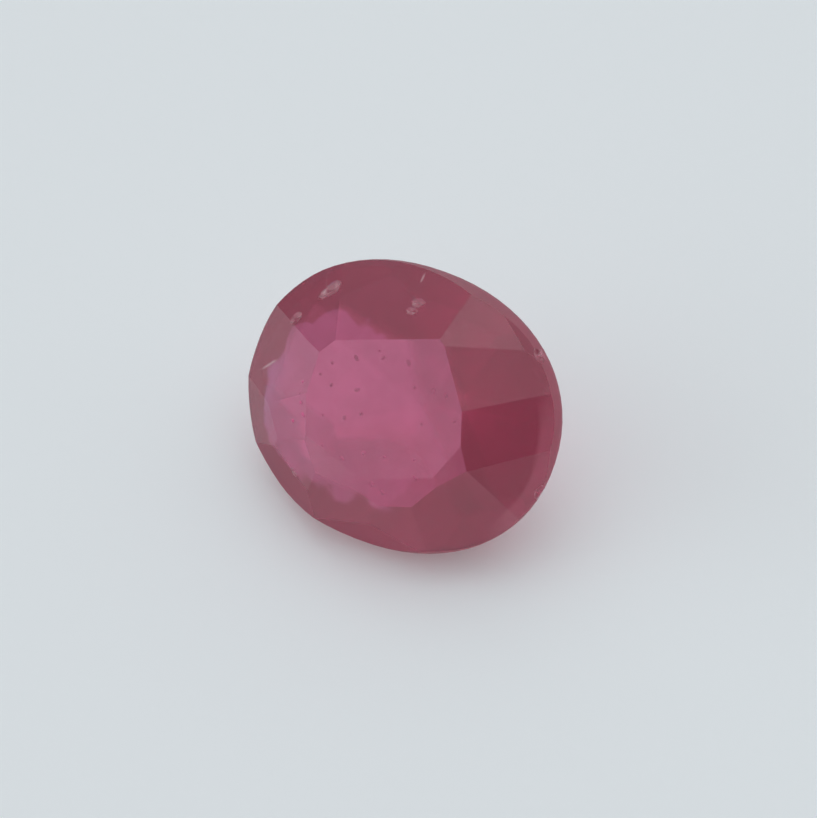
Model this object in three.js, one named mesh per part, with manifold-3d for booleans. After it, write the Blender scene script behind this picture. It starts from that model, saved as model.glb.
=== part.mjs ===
// A loose ruby: one oval stone, ground by hand into a mixed cut, lying on a facet of its pavilion.
// Millimetres, +Z up. X runs along the stone's length, and its table leans towards -Y.
import * as THREE from 'three';
import { mergeVertices } from 'three/addons/utils/BufferGeometryUtils.js';
import Module from 'manifold-3d';

const wasm = await Module();
wasm.setup();

// The stone before it is laid down: its table faces +Z and its girdle's middle is at Z = 0.
const girdleLength = 8.42;
const girdleWidth = 6.97;
const outlinePower = 2.13; // 2 would be an ellipse, and more is squarer at the corners
const outlineTurn = 4.7; // degrees from X to the oval's long axis
const outlineShift = -0.05; // along X, because the table isn't quite in the middle of the oval
const girdleRounding = 0.56; // radius of the girdle's edge, seen from the side
const girdleTurnUp = 10; // degrees that the rounded edge leans in towards the crown
const girdleTurnDown = 25; // and towards the pavilion
const tableHeight = 1.37;
const pavilionTop = -0.49; // height at which the steep pavilion facets leave the girdle
const culetHeight = -3.475;
const restAzimuth = -90; // the steep pavilion facet that it lies on
const restSlope = 46;

// How finely the round girdle is divided.
const outlineSegments = 72;
const girdleSteps = 10;

// Crown facets round the table: the way each one faces, its slope, and how far out it meets the table.
const crownFacets = [
  { azimuth: 114, slope: 31.5, radius: 1.66 },
  { azimuth: 57.5, slope: 31.5, radius: 2.2 },
  { azimuth: 39.5, slope: 27.3, radius: 1.99 },
  { azimuth: 21.5, slope: 28, radius: 2.09 },
  { azimuth: -13.6, slope: 40, radius: 2.56 },
  { azimuth: -19.4, slope: 8.6, radius: 2.12 },
  { azimuth: -36, slope: 39, radius: 2.31 },
  { azimuth: -65, slope: 8, radius: 1.71 },
  { azimuth: -67, slope: 36, radius: 2.25 },
  { azimuth: -91, slope: 30, radius: 2.05 },
  { azimuth: -102, slope: 8, radius: 1.72 },
  { azimuth: -131, slope: 32, radius: 2.17 },
  { azimuth: -158, slope: 29, radius: 2.0 },
  { azimuth: -178, slope: 33, radius: 2.05 },
  { azimuth: 148, slope: 34, radius: 2.05 },
];

// Steeper break facets between those and the girdle, each through a point at its own height.
const breakFacets = [
  { azimuth: -80, slope: 50, radius: 2.98, height: 0.82 },
  { azimuth: -124, slope: 46, radius: 3.13, height: 0.74 },
  { azimuth: -150, slope: 40, radius: 3.52, height: 0.455 },
  { azimuth: -175.6, slope: 32, radius: 3.15, height: 0.65 },
  { azimuth: 57, slope: 45, radius: 3.61, height: 0.505 },
];

// Pavilion facets in two steps: steep ones that leave the girdle, and flatter ones that meet at the culet.
const steepFacets = [
  { azimuth: restAzimuth, slope: restSlope },
  { azimuth: -45, slope: 47 },
  { azimuth: 0, slope: 45 },
  { azimuth: 46, slope: 47 },
  { azimuth: 91, slope: 46.5 },
  { azimuth: 136, slope: 47.5 },
  { azimuth: 180, slope: 45.5 },
  { azimuth: 225, slope: 47 },
];
const flatFacets = [
  { azimuth: -90, slope: 23 },
  { azimuth: -44, slope: 25 },
  { azimuth: 0, slope: 29 },
  { azimuth: 45, slope: 32 },
  { azimuth: 90, slope: 33 },
  { azimuth: 135, slope: 31 },
  { azimuth: 180, slope: 29 },
  { azimuth: 226, slope: 24.5 },
];

// Small chips in the crown and the girdle. The slope is that of the surface there.
const chips = [
  { azimuth: 143.6, slope: 34, radius: 3.36, height: 0.49, size: 0.32, depth: 0.08 },
  { azimuth: 148, slope: 34, radius: 3.37, height: 0.47, size: 0.2, depth: 0.05 },
  { azimuth: 163.3, slope: 34, radius: 3.43, height: 0.52, size: 0.22, depth: 0.06 },
  { azimuth: 97.9, slope: 31.5, radius: 2.65, height: 0.83, size: 0.2, depth: 0.06 },
  { azimuth: 99.2, slope: 31.5, radius: 2.43, height: 0.95, size: 0.17, depth: 0.05 },
  { azimuth: -124.4, slope: 46, radius: 3.02, height: 0.85, size: 0.15, depth: 0.04 },
  { azimuth: 43.2, slope: 60, radius: 3.86, height: 0.27, size: 0.2, depth: 0.05 },
  { azimuth: -6.2, slope: 60, radius: 4.12, height: 0.12, size: 0.24, depth: 0.07 },
];

const cutterSize = 4 * girdleLength;
const halfLength = girdleLength / 2;
const halfWidth = girdleWidth / 2;
const radians = THREE.MathUtils.degToRad;

// A closed solid from a geometry, with its shared vertices merged and its collapsed triangles left out.
function solidFrom(geometry) {
  geometry.deleteAttribute('normal');
  geometry.deleteAttribute('uv');
  const merged = mergeVertices(geometry);
  const corners = Array.from(merged.index.array);
  const triangles = [];
  for (let first = 0; first < corners.length; first += 3) {
    const triangle = corners.slice(first, first + 3);
    if (new Set(triangle).size === 3) {
      triangles.push(...triangle);
    }
  }
  const vertProperties = new Float32Array(merged.attributes.position.array);
  const triVerts = new Uint32Array(triangles);
  return new wasm.Manifold(new wasm.Mesh({ numProp: 3, vertProperties, triVerts }));
}

// The outline of the girdle at an angle, as a point on a curve between an oval and a rectangle.
function outlinePoint(angle) {
  const along = Math.cos(angle);
  const across = Math.sin(angle);
  const power = 2 / outlinePower;
  const point = new THREE.Vector2(
    halfLength * Math.sign(along) * Math.abs(along) ** power,
    halfWidth * Math.sign(across) * Math.abs(across) ** power,
  );
  return point.rotateAround(new THREE.Vector2(), radians(outlineTurn));
}

// How far the outline reaches in the direction of an azimuth.
function outlineReach(azimuth) {
  const direction = new THREE.Vector2(Math.cos(radians(azimuth)), Math.sin(radians(azimuth)));
  let reach = 0;
  for (let segment = 0; segment < outlineSegments; segment += 1) {
    const angle = (2 * Math.PI * segment) / outlineSegments;
    reach = Math.max(reach, outlinePoint(angle).dot(direction));
  }
  return reach + outlineShift * direction.x;
}

// The blank before grinding: a barrel with a rounded girdle, whose ends lie beyond every facet.
function makeBlank() {
  const endHeight = 1.2 * Math.abs(culetHeight);
  const edge = [];
  for (let step = 0; step <= girdleSteps; step += 1) {
    const lean = THREE.MathUtils.lerp(-girdleTurnDown, girdleTurnUp, step / girdleSteps);
    edge.push(new THREE.Vector2(
      1 - (girdleRounding * (1 - Math.cos(radians(lean)))) / halfWidth,
      girdleRounding * Math.sin(radians(lean)),
    ));
  }
  const lowest = edge[0];
  const highest = edge[girdleSteps];
  const lowEnd = lowest.x - ((endHeight + lowest.y) * Math.tan(radians(girdleTurnDown))) / halfWidth;
  const highEnd = highest.x - ((endHeight - highest.y) * Math.tan(radians(girdleTurnUp))) / halfWidth;
  const profile = [
    new THREE.Vector2(0, -endHeight),
    new THREE.Vector2(lowEnd, -endHeight),
    ...edge,
    new THREE.Vector2(highEnd, endHeight),
    new THREE.Vector2(0, endHeight),
  ];
  const barrel = new THREE.LatheGeometry(profile, outlineSegments).rotateX(Math.PI / 2);
  const position = barrel.attributes.position;
  for (let index = 0; index < position.count; index += 1) {
    const radius = Math.hypot(position.getX(index), position.getY(index));
    const rim = outlinePoint(Math.atan2(position.getY(index), position.getX(index)));
    position.setXY(index, rim.x * radius + outlineShift, rim.y * radius);
  }
  return solidFrom(barrel);
}

// Turns a geometry so that its +Z faces the facet's way, and moves it to the facet's point.
function placeOnFacet(geometry, { azimuth, slope, radius, height }) {
  return geometry
    .rotateY(radians(slope))
    .rotateZ(radians(azimuth))
    .translate(radius * Math.cos(radians(azimuth)), radius * Math.sin(radians(azimuth)), height);
}

// The block that grinding takes off above a facet.
function facetCutter(facet) {
  const block = new THREE.BoxGeometry(cutterSize, cutterSize, cutterSize);
  return solidFrom(placeOnFacet(block.translate(0, 0, cutterSize / 2), facet));
}

// The piece that breaks away at a chip, wider than it is deep.
function chipCutter(chip) {
  const flake = new THREE.IcosahedronGeometry(chip.size, 1).scale(1, 1.4, 1);
  return solidFrom(placeOnFacet(flake.translate(0, 0, chip.size - chip.depth), chip));
}

function makeStone() {
  const table = { azimuth: 0, slope: 0, radius: 0, height: tableHeight };
  const crown = crownFacets.map((facet) => ({ ...facet, height: tableHeight }));
  const steep = steepFacets.map(({ azimuth, slope }) => (
    { azimuth, slope: 180 - slope, radius: outlineReach(azimuth), height: pavilionTop }
  ));
  const flat = flatFacets.map(({ azimuth, slope }) => (
    { azimuth, slope: 180 - slope, radius: 0, height: culetHeight }
  ));
  let stone = makeBlank();
  for (const facet of [table, ...crown, ...breakFacets, ...steep, ...flat]) {
    stone = stone.subtract(facetCutter(facet));
  }
  for (const chip of chips) {
    stone = stone.subtract(chipCutter(chip));
  }
  return stone;
}

function geometryFrom(solid) {
  const mesh = solid.getMesh();
  const geometry = new THREE.BufferGeometry();
  geometry.setAttribute('position', new THREE.BufferAttribute(mesh.vertProperties, 3));
  geometry.setIndex(new THREE.BufferAttribute(mesh.triVerts, 1));
  return geometry;
}

const rubyMaterial = new THREE.MeshStandardMaterial({ color: 0x9c4a66, roughness: 0.15, metalness: 0 });
const ruby = new THREE.Mesh(geometryFrom(makeStone()), rubyMaterial);
ruby.name = 'ruby';

// Laid down on its resting facet, with the middle of its box's underside at the origin.
ruby.rotation.x = radians(restSlope);
const box = new THREE.Box3().setFromObject(ruby, true);
const middle = box.getCenter(new THREE.Vector3());
ruby.position.set(-middle.x, -middle.y, -box.min.z);

const group = new THREE.Group();
group.add(ruby);

export default group;
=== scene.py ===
# The looks of a loose ruby that lies on a pale floor in soft light.
import math
import random

import bmesh
import bpy
from mathutils import Matrix, Vector


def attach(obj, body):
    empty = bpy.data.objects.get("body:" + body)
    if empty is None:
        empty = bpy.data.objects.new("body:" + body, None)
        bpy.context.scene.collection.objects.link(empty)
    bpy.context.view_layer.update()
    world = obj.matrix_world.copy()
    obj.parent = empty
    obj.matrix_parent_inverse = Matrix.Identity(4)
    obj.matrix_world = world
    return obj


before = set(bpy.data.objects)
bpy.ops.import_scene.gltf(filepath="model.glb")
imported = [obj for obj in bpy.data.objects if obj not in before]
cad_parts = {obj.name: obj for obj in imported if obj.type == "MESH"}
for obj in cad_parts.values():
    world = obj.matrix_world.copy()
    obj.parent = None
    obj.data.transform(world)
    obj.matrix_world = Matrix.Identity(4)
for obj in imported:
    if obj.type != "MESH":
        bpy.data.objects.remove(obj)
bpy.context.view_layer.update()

MM = 0.001

# The stone's own frame: its table faces +Z there, and its girdle's middle is the origin.
REST_SLOPE = math.radians(46)
GIRDLE_MIDDLE = Vector((0.048, -0.066, 2.855)) * MM
STONE_TO_PART = Matrix.Translation(GIRDLE_MIDDLE) @ Matrix.Rotation(REST_SLOPE, 4, "X")
STONE_AXIS = STONE_TO_PART.to_3x3() @ Vector((0, 0, 1))

# Corners closer than this are one corner.
MERGE_DISTANCE = 0.0001 * MM

# Surfaces that meet at less than this are one rounded surface.
FACET_ANGLE = math.radians(7.5)

# Slopes from the table's plane, in degrees: of what hardly leans from it, of the girdle and of worn faces.
TABLE_SLOPES = (4, 12)
GIRDLE_SLOPES = (62, 118)
WORN_SLOPES = (44, 118)

# The view of the photograph.
VIEW_AZIMUTH = 32
VIEW_ELEVATION = 50
VIEW_DISTANCE = 90.35 * MM
VIEW_LENS = 162
SENSOR_WIDTH = 36
NEAREST_SEEN = 1 * MM
FARTHEST_SEEN = 10
AIM_RIGHT = 0.130 * MM
AIM_DOWN = 0.049 * MM

# The light tent: its colour and strength, and patches as azimuth, elevation, half angle and change.
TENT_COLOUR = (0.955, 0.985, 1.0, 1)
TENT_STRENGTH = 0.64
TENT_PATCHES = [
    (0, 90, 40, 0.46),
    (-52, 14, 26, 0.85),
    (50, 26, 44, -0.5),
    (-80, 47, 18, -0.36),
    (-97, 14, 14, -0.32),
]
PATCH_EDGE = (1.3, 0.7)  # where a patch fades in, as shares of its half angle

# The floor, which glows faintly so that the shadow stays light.
FLOOR_HALF = 0.6
FLOOR_GAP = 0.01 * MM
FLOOR_COLOUR = (0.758, 0.815, 0.846, 1)
FLOOR_ROUGHNESS = 0.5
FLOOR_GLOW = (1, 0.92, 0.9, 1)
FLOOR_GLOW_STRENGTH = 0.12

# Ovals in the stone's own frame, each a middle and radii in millimetres, for all heights.
ANY_HEIGHT = 1000
GIRDLE_OVAL = (Vector((-0.05, 0, 0)), Vector((4.21, 3.485, ANY_HEIGHT)))
CLOUD_OVALS = [
    (Vector((-1.1, -0.45, 0)), Vector((2.42, 2.0, ANY_HEIGHT))),
    (Vector((-0.1, -0.6, 0)), Vector((1.9, 1.85, ANY_HEIGHT))),
    (Vector((-1.95, 0.95, 0)), Vector((0.8, 0.75, ANY_HEIGHT))),
    (Vector((-2.7, 0.4, 0)), Vector((0.65, 0.65, ANY_HEIGHT))),
]
CORNER_OVAL = (Vector((-2.3, 0.5, 0)), Vector((1.3, 1.7, ANY_HEIGHT)))

# Where the cloud, its dull corner, the rim, and the painted edge highlight and the crack fade in, as shares
# of their ovals.
CLOUD_FADE = (1.4, 1.3)
CORNER_FADE = (1.0, 0.2)
RIM_FADE = (0.91, 0.94)
EDGE_HIGHLIGHT_AND_CRACK_FADE = (1.0, 0.4)

# Where other things fade in, in millimetres along X, Y or Z of the stone's own frame.
RIM_END_FADE = (3.2, 3.8)
GARNET_FADE = (1.6, 3.0)
LILAC_FADE = (-2.6, -3.6)
LILAC_BACK_FADE = (0.5, -0.4)
# The cloud darkens towards the back as painted shade.
BACK_SHADE_FADE = (-1.6, 1.2)
PAVILION_FADE = (-0.25, -0.55)

# The noise that shapes the lobes of the cloud's edge and its mottled patches.
LOBE_SIZE = 0.7
LOBE_SCALE = 1.1
LOBE_DETAIL = 2
MOTTLE_SCALE = 2.4
MOTTLE_DETAIL = 6
MOTTLE_FADE = (0.35, 0.65)

# Colours of the body: outside the cloud, with a darker right end, and in the cloud, with a paler left end.
RED = (0.53, 0.118, 0.213, 1)
GARNET = (0.43, 0.102, 0.172, 1)
ROSE = (0.97, 0.295, 0.61, 1)
LILAC = (1.0, 0.44, 0.90, 1)
CLOUD_SHADE = (0.2, 0.03, 0.06, 1)

# How far the cloud darkens to its shade: in mottled patches, as painted shade towards the back, and in a
# corner of the table.
MOTTLE_SHARE = 0.1
BACK_SHADE_SHARE = 0.22
CORNER_SHARE = 0.13

# Colours of the pavilion, the girdle, the paler rim at the right end, the broken places (pale, with painted
# glints), and the painted edge highlight and the crack.
PAVILION_COLOUR = (1.0, 0.24, 0.40, 1)
GIRDLE_COLOUR = (0.58, 0.20, 0.28, 1)
RIM_COLOUR = (0.64, 0.27, 0.35, 1)
CHIP_AND_GLINT_COLOUR = (0.96, 0.72, 0.78, 1)
EDGE_HIGHLIGHT_AND_CRACK_COLOUR = (1.0, 0.90, 0.94, 1)

# Finish and clearness. A broken place is smoother than what is round it.
CROWN_ROUGHNESS = 0.22
PAVILION_ROUGHNESS = 0.38
WORN_ROUGHNESS = 0.6
CHIP_POLISH = 0.6
RUBY_IOR = 1.765
RUBY_TRANSMISSION = 0.76
ABSORPTION_COLOUR = (0.88, 0.06, 0.48, 1)
ABSORPTION_DENSITY = 180

# The faces of a broken place get painted glints: their pale colour is painted unevenly, on most of them
# faintly.
GLINT_SEED = 3
GLINT_POWER = 2

# The broken places: azimuth in degrees, then radius, height and size in millimetres in the stone's own frame.
CHIPS = [
    (143.6, 3.36, 0.49, 0.36),
    (163.3, 3.43, 0.52, 0.22),
    (97.9, 2.65, 0.83, 0.15),
    (99.2, 2.43, 0.95, 0.12),
    (-124.4, 3.02, 0.85, 0.15),
    (43.2, 3.86, 0.27, 0.2),
    (-6.2, 4.12, 0.12, 0.24),
]

# A painted highlight along a facet edge, and a crack: both ends and how far each spreads, in millimetres in
# the stone's own frame.
EDGE_HIGHLIGHT_AND_CRACK = [
    (Vector((-3.82, -0.70, 0.20)), Vector((-3.30, -0.13, 0.56)), 0.05),
    (Vector((-0.63, 3.33, 0.37)), Vector((-0.59, 3.03, 0.55)), 0.04),
]

# Dark specks just under the surface. Their length, width and thickness are shares of their radius.
SPECK_COLOUR = (0.72, 0.14, 0.31, 1)
SPECK_ROUGHNESS = 0.6
SPECK_SEED = 4
SPECK_LENGTHS = (0.8, 1.7)
SPECK_WIDTH = 0.8
SPECK_THICKNESS = 0.6

# Each speck's place in the stone's own frame and its radius, in millimetres.
SPECKS = [
    (-2.21, -0.28, 1.21, 0.05),
    (-2.17, -0.56, 1.20, 0.05),
    (-2.03, -0.76, 1.25, 0.06),
    (-1.84, -1.00, 1.31, 0.06),
    (-2.12, -1.29, 1.12, 0.05),
    (-0.81, -0.62, 1.31, 0.06),
    (-0.44, -0.35, 1.31, 0.06),
    (-0.77, 0.14, 1.31, 0.05),
    (-1.10, 0.84, 1.31, 0.06),
    (-1.64, 0.48, 1.31, 0.05),
    (-0.45, 1.13, 1.31, 0.05),
    (0.20, 1.28, 1.31, 0.06),
    (0.58, 0.79, 1.31, 0.05),
    (1.06, 0.92, 1.31, 0.06),
    (-0.01, -1.20, 1.31, 0.06),
    (-1.08, -1.47, 1.31, 0.05),
    (1.47, -1.19, 1.31, 0.05),
    (0.48, -1.80, 1.28, 0.06),
    (0.80, -1.87, 1.25, 0.05),
    (-0.48, -1.55, 1.30, 0.04),
    (1.10, 0.07, 1.31, 0.04),
    (1.40, 0.94, 1.31, 0.05),
    (1.85, 0.47, 1.31, 0.04),
    (-1.37, -0.79, 1.31, 0.04),
    (0.53, -1.06, 1.31, 0.04),
    (1.27, -0.80, 1.31, 0.04),
    (-1.45, -0.03, 1.31, 0.05),
    (-1.82, 0.10, 1.30, 0.04),
    (-0.61, 1.25, 1.31, 0.04),
]


def direction(azimuth, elevation):
    """The unit vector towards an azimuth and elevation, both in degrees."""
    around = math.radians(azimuth)
    up = math.radians(elevation)
    return Vector((math.sin(around) * math.cos(up), -math.cos(around) * math.cos(up), math.sin(up)))


def cosine(degrees):
    return math.cos(math.radians(degrees))


def add_object(name, data):
    made = bpy.data.objects.new(name, data)
    bpy.context.scene.collection.objects.link(made)
    return made


def make_camera():
    data = bpy.data.cameras.new("camera")
    data.lens = VIEW_LENS
    data.sensor_width = SENSOR_WIDTH
    data.clip_start = NEAREST_SEEN
    data.clip_end = FARTHEST_SEEN
    camera = add_object("camera", data)
    back = direction(VIEW_AZIMUTH, VIEW_ELEVATION)
    turn = back.to_track_quat("Z", "Y")
    aim = GIRDLE_MIDDLE + turn @ Vector((AIM_RIGHT, -AIM_DOWN, 0))
    camera.location = aim + back * VIEW_DISTANCE
    camera.rotation_mode = "QUATERNION"
    camera.rotation_quaternion = turn
    bpy.context.scene.camera = camera


def add_node(tree, kind, inputs=(), **settings):
    """A node with its settings made, and its sockets, by name or number, filled or linked."""
    made = tree.nodes.new(kind)
    for name, value in settings.items():
        setattr(made, name, value)
    for name, value in dict(inputs).items():
        if isinstance(value, bpy.types.NodeSocket):
            tree.links.new(value, made.inputs[name])
        else:
            made.inputs[name].default_value = value
    return made


def new_material(name, inputs):
    """A material with one shader, whose constant inputs are given by name."""
    material = bpy.data.materials.new(name)
    material.use_nodes = True
    tree = material.node_tree
    tree.nodes.clear()
    shader = add_node(tree, "ShaderNodeBsdfPrincipled", inputs)
    output = add_node(tree, "ShaderNodeOutputMaterial", {"Surface": shader.outputs["BSDF"]})
    return material, shader, output


def add_math(tree, operation, first, second):
    return add_node(tree, "ShaderNodeMath", {0: first, 1: second}, operation=operation).outputs["Value"]


def add_vector_math(tree, operation, first, second=(0, 0, 0)):
    return add_node(tree, "ShaderNodeVectorMath", {0: first, 1: second}, operation=operation).outputs


def add_step(tree, value, start, end):
    """From 0 where the value is at start to 1 where it is at end, smoothly."""
    step = add_node(
        tree, "ShaderNodeMapRange", {"Value": value, "From Min": start, "From Max": end},
        interpolation_type="SMOOTHSTEP",
    )
    return step.outputs["Result"]


def add_mix(tree, share, first, second):
    """The first colour where the share is 0, and the second where it is 1."""
    mix = add_node(tree, "ShaderNodeMix", {0: share, 6: first, 7: second}, data_type="RGBA")
    return mix.outputs[2]


def add_noise(tree, place, scale, detail):
    noise = add_node(tree, "ShaderNodeTexNoise", {"Vector": place, "Scale": scale, "Detail": detail})
    return noise.outputs["Fac"]


def add_attribute(tree, name):
    return add_node(tree, "ShaderNodeAttribute", attribute_name=name).outputs["Fac"]


def add_stone_place(tree):
    """The point being shaded, in millimetres in the stone's own frame."""
    turn = Matrix.Rotation(-REST_SLOPE, 3, "X")
    place = add_node(tree, "ShaderNodeTexCoord")
    mapping = add_node(tree, "ShaderNodeMapping", {
        "Vector": place.outputs["Object"],
        "Location": -(turn @ GIRDLE_MIDDLE) / MM,
        "Rotation": (-REST_SLOPE, 0, 0),
        "Scale": (1 / MM, 1 / MM, 1 / MM),
    })
    return mapping.outputs["Vector"]


def add_oval_reach(tree, place, middle, radii):
    """0 in the middle of an oval, 1 on its edge and more beyond it."""
    offset = add_vector_math(tree, "SUBTRACT", place, middle)["Vector"]
    ratio = add_vector_math(tree, "DIVIDE", offset, radii)["Vector"]
    return add_vector_math(tree, "LENGTH", ratio)["Value"]


def add_cloud_share(tree, place):
    """1 in the rose cloud and 0 outside it, with a lobed edge. The whole table is in it."""
    reach = add_oval_reach(tree, place, *CLOUD_OVALS[0])
    for oval in CLOUD_OVALS[1:]:
        reach = add_math(tree, "MINIMUM", add_oval_reach(tree, place, *oval), reach)
    lobes = add_math(tree, "MULTIPLY", add_noise(tree, place, LOBE_SCALE, LOBE_DETAIL), LOBE_SIZE)
    share = add_step(tree, add_math(tree, "ADD", reach, lobes), *CLOUD_FADE)
    return add_math(tree, "MAXIMUM", share, add_attribute(tree, "table"))


def add_cloud_shade(tree, place, axes):
    """How much darker the cloud is: in mottled patches, with painted shade towards the back, and in a corner
    of the table.
    """
    mottle = add_step(tree, add_noise(tree, place, MOTTLE_SCALE, MOTTLE_DETAIL), *MOTTLE_FADE)
    back = add_step(tree, axes["Y"], *BACK_SHADE_FADE)
    corner = add_math(
        tree, "MULTIPLY",
        add_step(tree, add_oval_reach(tree, place, *CORNER_OVAL), *CORNER_FADE),
        add_attribute(tree, "table"),
    )
    shade = add_math(tree, "MULTIPLY", mottle, MOTTLE_SHARE)
    for share, weight in ((back, BACK_SHADE_SHARE), (corner, CORNER_SHARE)):
        shade = add_math(tree, "ADD", shade, add_math(tree, "MULTIPLY", share, weight))
    return shade


def add_edge_highlight_and_crack_share(tree, place):
    """1 along the painted edge highlight and the crack, and 0 away from them."""
    share = 0.0
    for start, end, spread in EDGE_HIGHLIGHT_AND_CRACK:
        along = end - start
        oval = add_node(tree, "ShaderNodeMapping", {
            "Vector": place,
            "Location": (start + end) / 2,
            "Rotation": along.to_track_quat("X", "Z").to_euler(),
            "Scale": (along.length / 2, spread, spread),
        }, vector_type="TEXTURE")
        reach = add_vector_math(tree, "LENGTH", oval.outputs["Vector"])["Value"]
        share = add_math(tree, "MAXIMUM", add_step(tree, reach, *EDGE_HIGHLIGHT_AND_CRACK_FADE), share)
    return share


def add_body_colour(tree, place, axes, pavilion, chip_and_glint):
    outside = add_mix(tree, add_step(tree, axes["X"], *GARNET_FADE), RED, GARNET)
    lilac = add_math(
        tree, "MULTIPLY",
        add_step(tree, axes["X"], *LILAC_FADE),
        add_step(tree, axes["Y"], *LILAC_BACK_FADE),
    )
    inside = add_mix(tree, lilac, ROSE, LILAC)
    inside = add_mix(tree, add_cloud_shade(tree, place, axes), inside, CLOUD_SHADE)
    body = add_mix(tree, add_cloud_share(tree, place), outside, inside)
    rim = add_math(
        tree, "MULTIPLY",
        add_step(tree, add_oval_reach(tree, place, *GIRDLE_OVAL), *RIM_FADE),
        add_step(tree, axes["X"], *RIM_END_FADE),
    )
    body = add_mix(tree, rim, body, RIM_COLOUR)
    body = add_mix(tree, pavilion, body, PAVILION_COLOUR)
    body = add_mix(tree, add_attribute(tree, "girdle"), body, GIRDLE_COLOUR)
    # Broken places: partly their pale broken surface and partly painted glints that differ from face to face.
    body = add_mix(tree, chip_and_glint, body, CHIP_AND_GLINT_COLOUR)
    # A painted highlight along a facet edge, and a pale crack.
    return add_mix(tree, add_edge_highlight_and_crack_share(tree, place), body, EDGE_HIGHLIGHT_AND_CRACK_COLOUR)


def add_roughness(tree, pavilion, chip_and_glint):
    polished = add_node(
        tree, "ShaderNodeMapRange",
        {"Value": pavilion, "To Min": CROWN_ROUGHNESS, "To Max": PAVILION_ROUGHNESS},
    )
    worn = add_math(tree, "MULTIPLY", add_attribute(tree, "worn"), WORN_ROUGHNESS)
    rough = add_math(tree, "MAXIMUM", polished.outputs["Result"], worn)
    smoother = add_math(tree, "SUBTRACT", 1.0, add_math(tree, "MULTIPLY", chip_and_glint, CHIP_POLISH))
    return add_math(tree, "MULTIPLY", rough, smoother)


def make_ruby_material():
    material, shader, output = new_material("ruby", {
        "IOR": RUBY_IOR,
        "Transmission Weight": RUBY_TRANSMISSION,
    })
    tree = material.node_tree
    place = add_stone_place(tree)
    axes = add_node(tree, "ShaderNodeSeparateXYZ", {"Vector": place}).outputs
    pavilion = add_step(tree, axes["Z"], *PAVILION_FADE)
    chip_and_glint = add_attribute(tree, "chip_and_glint")
    tree.links.new(add_body_colour(tree, place, axes, pavilion, chip_and_glint), shader.inputs["Base Color"])
    tree.links.new(add_roughness(tree, pavilion, chip_and_glint), shader.inputs["Roughness"])
    absorption = add_node(tree, "ShaderNodeVolumeAbsorption", {
        "Color": ABSORPTION_COLOUR,
        "Density": ABSORPTION_DENSITY,
    })
    tree.links.new(absorption.outputs["Volume"], output.inputs["Volume"])
    return material


def chip_place(azimuth, radius, height):
    """The middle of a broken place, in the part's frame."""
    angle = math.radians(azimuth)
    return STONE_TO_PART @ (Vector((radius * math.cos(angle), radius * math.sin(angle), height)) * MM)


def add_chip_and_glint_share(tree):
    """0 away from the broken places, and on them up to 1, with another share for each face that paints uneven
    glints.
    """
    place = add_node(tree, "GeometryNodeInputPosition").outputs["Position"]
    share = 0.0
    for azimuth, radius, height, size in CHIPS:
        far = add_vector_math(tree, "DISTANCE", place, chip_place(azimuth, radius, height))["Value"]
        near = add_math(tree, "LESS_THAN", far, size * MM)
        share = add_math(tree, "MAXIMUM", near, share)
    glint = add_node(tree, "FunctionNodeRandomValue", {"Seed": GLINT_SEED}, data_type="FLOAT").outputs[1]
    return add_math(tree, "MULTIPLY", share, add_math(tree, "POWER", glint, GLINT_POWER))


def add_lean(tree):
    """The cosine of a face's slope from the table."""
    normal = add_node(tree, "GeometryNodeInputNormal").outputs["Normal"]
    return add_vector_math(tree, "DOT_PRODUCT", normal, STONE_AXIS)["Value"]


def add_table_share(tree):
    """1 on the table, less on the faces that hardly lean away from it, and 0 on the others."""
    flattest, steepest = TABLE_SLOPES
    return add_step(tree, add_lean(tree), cosine(steepest), cosine(flattest))


def add_slope_share(tree, flattest, steepest):
    """1 on the faces whose slope from the table is between two limits, and 0 elsewhere."""
    lean = add_lean(tree)
    return add_math(
        tree, "MULTIPLY",
        add_math(tree, "LESS_THAN", lean, cosine(flattest)),
        add_math(tree, "GREATER_THAN", lean, cosine(steepest)),
    )


def make_shading_nodes():
    """Joins the solid's triangles, shades them smooth but for the facets' edges, and marks their finish."""
    group = bpy.data.node_groups.new("facet_shading", "GeometryNodeTree")
    group.interface.new_socket("Geometry", in_out="INPUT", socket_type="NodeSocketGeometry")
    group.interface.new_socket("Geometry", in_out="OUTPUT", socket_type="NodeSocketGeometry")
    angle = add_node(group, "GeometryNodeInputMeshEdgeAngle").outputs["Unsigned Angle"]
    sharp = {"Selection": add_math(group, "GREATER_THAN", angle, FACET_ANGLE), "Shade Smooth": False}
    chain = [
        add_node(group, "NodeGroupInput"),
        add_node(group, "GeometryNodeMergeByDistance", {"Distance": MERGE_DISTANCE}),
        add_node(group, "GeometryNodeRemoveAttribute", {"Name": "custom_normal"}),
        add_node(group, "GeometryNodeSetShadeSmooth", domain="FACE"),
        add_node(group, "GeometryNodeSetShadeSmooth", sharp, domain="EDGE"),
    ]
    shares = {
        "chip_and_glint": add_chip_and_glint_share(group),
        "girdle": add_slope_share(group, *GIRDLE_SLOPES),
        "worn": add_slope_share(group, *WORN_SLOPES),
        "table": add_table_share(group),
    }
    for name, share in shares.items():
        chain.append(add_node(
            group, "GeometryNodeStoreNamedAttribute", {"Name": name, "Value": share},
            data_type="FLOAT", domain="FACE",
        ))
    chain.append(add_node(group, "NodeGroupOutput"))
    for before, after in zip(chain, chain[1:]):
        group.links.new(before.outputs["Geometry"], after.inputs["Geometry"])
    return group


def dress_stone():
    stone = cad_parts["ruby"]
    stone.data.materials.clear()
    stone.data.materials.append(make_ruby_material())
    shading = stone.modifiers.new("facet_shading", "NODES")
    shading.node_group = make_shading_nodes()


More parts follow.
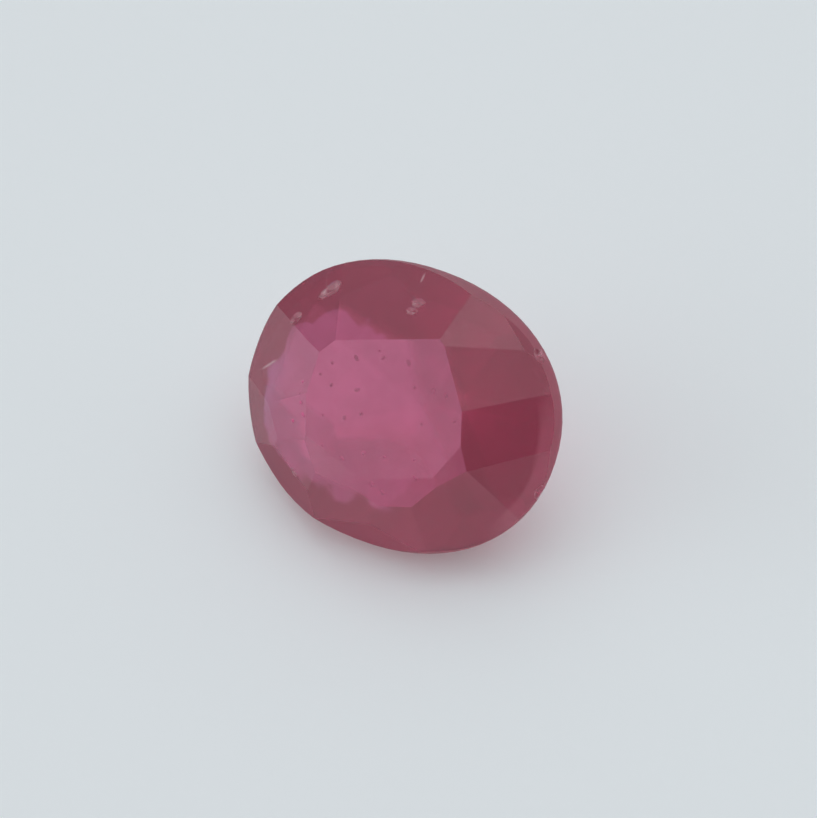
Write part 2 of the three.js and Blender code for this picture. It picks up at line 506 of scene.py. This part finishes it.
def add_specks():
    """One piece of small dark lumps inside the stone."""
    draw = random.Random(SPECK_SEED)
    lumps = bmesh.new()
    for x, y, z, radius in SPECKS:
        place = STONE_TO_PART @ Matrix.Translation(Vector((x, y, z)) * MM)
        turn = Matrix.Rotation(draw.uniform(0, math.pi), 4, "Z")
        sizes = Vector((draw.uniform(*SPECK_LENGTHS), SPECK_WIDTH, SPECK_THICKNESS)) * radius
        shape = Matrix.Diagonal((*sizes, 1))
        bmesh.ops.create_icosphere(lumps, subdivisions=2, radius=MM, matrix=place @ turn @ shape)
    mesh = bpy.data.meshes.new("specks")
    lumps.to_mesh(mesh)
    lumps.free()
    material, _, _ = new_material("specks", {"Base Color": SPECK_COLOUR, "Roughness": SPECK_ROUGHNESS})
    mesh.materials.append(material)
    specks = add_object("specks", mesh)
    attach(specks, "root")


def make_floor():
    half = FLOOR_HALF
    mesh = bpy.data.meshes.new("floor")
    corners = [(-half, -half, 0), (half, -half, 0), (half, half, 0), (-half, half, 0)]
    mesh.from_pydata(corners, [], [(0, 1, 2, 3)])
    material, _, _ = new_material("floor", {
        "Base Color": FLOOR_COLOUR,
        "Roughness": FLOOR_ROUGHNESS,
        "Emission Color": FLOOR_GLOW,
        "Emission Strength": FLOOR_GLOW_STRENGTH,
    })
    mesh.materials.append(material)
    floor = add_object("floor", mesh)
    floor.location.z = -FLOOR_GAP


def make_light():
    """A soft tent of light all round, with brighter and darker patches in it."""
    world = bpy.data.worlds.new("tent")
    world.use_nodes = True
    tree = world.node_tree
    way = add_node(tree, "ShaderNodeTexCoord").outputs["Generated"]
    strength = TENT_STRENGTH
    outer, inner = PATCH_EDGE
    for azimuth, elevation, half_angle, change in TENT_PATCHES:
        facing = add_vector_math(tree, "DOT_PRODUCT", way, direction(azimuth, elevation))["Value"]
        patch = add_step(tree, facing, cosine(outer * half_angle), cosine(inner * half_angle))
        strength = add_math(tree, "ADD", strength, add_math(tree, "MULTIPLY", patch, change))
    background = tree.nodes["Background"]
    background.inputs["Color"].default_value = TENT_COLOUR
    tree.links.new(strength, background.inputs["Strength"])
    bpy.context.scene.world = world


def set_rendering():
    scene = bpy.context.scene
    scene.view_settings.view_transform = "Standard"
    cycles = scene.cycles
    cycles.max_bounces = 24
    cycles.transmission_bounces = 24
    cycles.glossy_bounces = 16
    cycles.diffuse_bounces = 6
    cycles.caustics_refractive = True
    cycles.caustics_reflective = True
    cycles.blur_glossy = 0.3
    cycles.use_denoising = True
    cycles.sampling_pattern = "TABULATED_SOBOL"


make_camera()
dress_stone()
add_specks()
make_floor()
make_light()
set_rendering()
